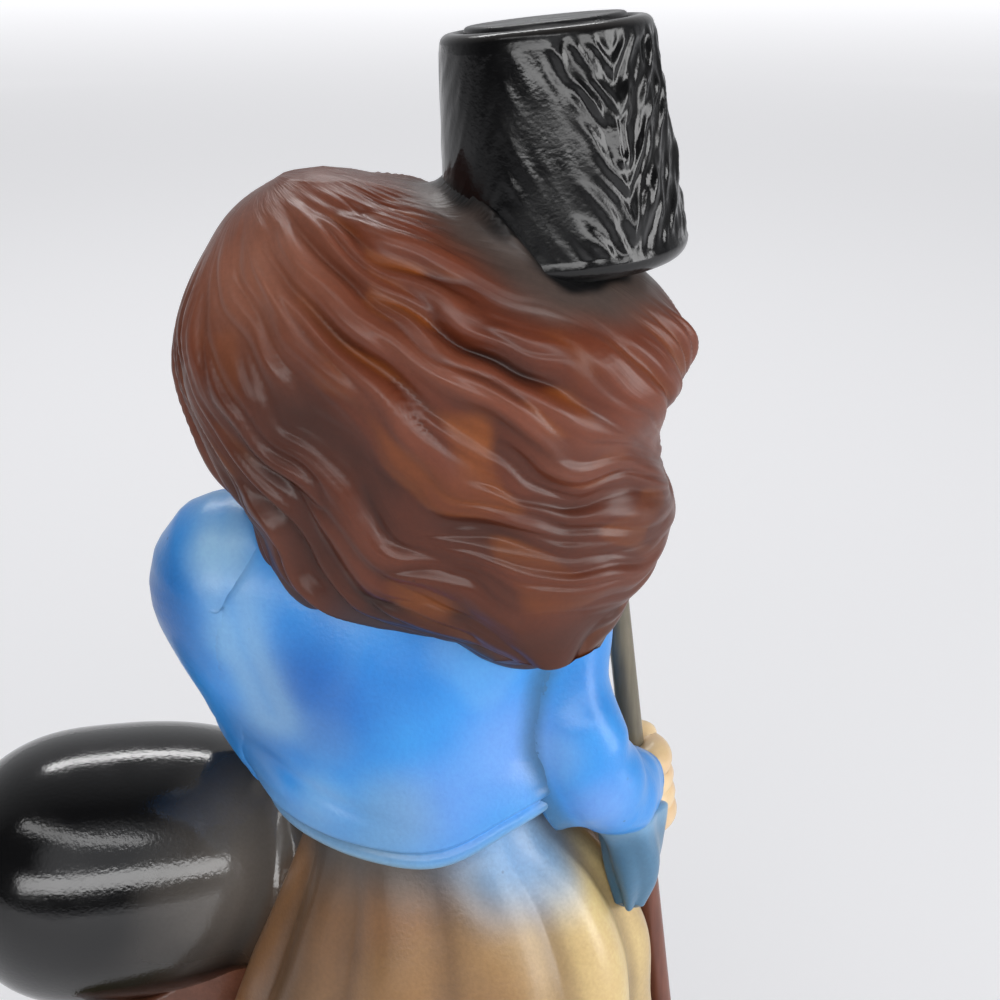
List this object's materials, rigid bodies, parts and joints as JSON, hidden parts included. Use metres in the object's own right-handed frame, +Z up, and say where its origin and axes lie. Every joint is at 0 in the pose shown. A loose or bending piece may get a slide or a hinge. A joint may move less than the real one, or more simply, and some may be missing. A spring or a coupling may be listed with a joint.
{
  "type": "figural liquor decanter",
  "caption": "Glazed ceramic figural decanter: a gun crew woman with a sponge staff beside a cannon, poured through the sponge head, closed by a pull-out cork stopper.",
  "frame": {"origin": "on the flat underside of the plinth, below the axis of the figure", "axes": "+Z up, the figure faces -Y, +X towards the figure's left side and the breech of the gun"},
  "size_m": [0.1836, 0.132, 0.3351],
  "materials": {
    "ground": "gloss",
    "skirt": "gloss",
    "blouse": "gloss",
    "skin": "satin",
    "hair": "satin",
    "sponge": "gloss",
    "staff": "satin",
    "gun": "gloss",
    "carriage": "satin",
    "cap": "gloss",
    "cork": "matte"
  },
  "bodies": {
    "decanter": {"base_plinth": "ground", "skirt_shell": "skirt", "bodice_shell": "blouse", "head": "skin", "hair_shell": "hair", "sponge_spout": "sponge", "rammer_staff": "staff", "left_sleeve": "blouse", "left_hand": "skin", "right_sleeve": "blouse", "right_cuff": "blouse", "right_hand": "skin", "cannon_barrel": "gun", "cheek_near": "carriage", "cheek_far": "carriage", "axle": "carriage", "wheel": "carriage"},
    "stopper": {"stopper_cap": "cap", "stopper_cork": "cork"}
  },
  "joints": [
    {"name": "stopper_pull", "type": "slide", "parent": "decanter", "child": "stopper", "axis": [0.1028, -0.0521, 0.9933], "range_m": [0, 0.045]}
  ]
}
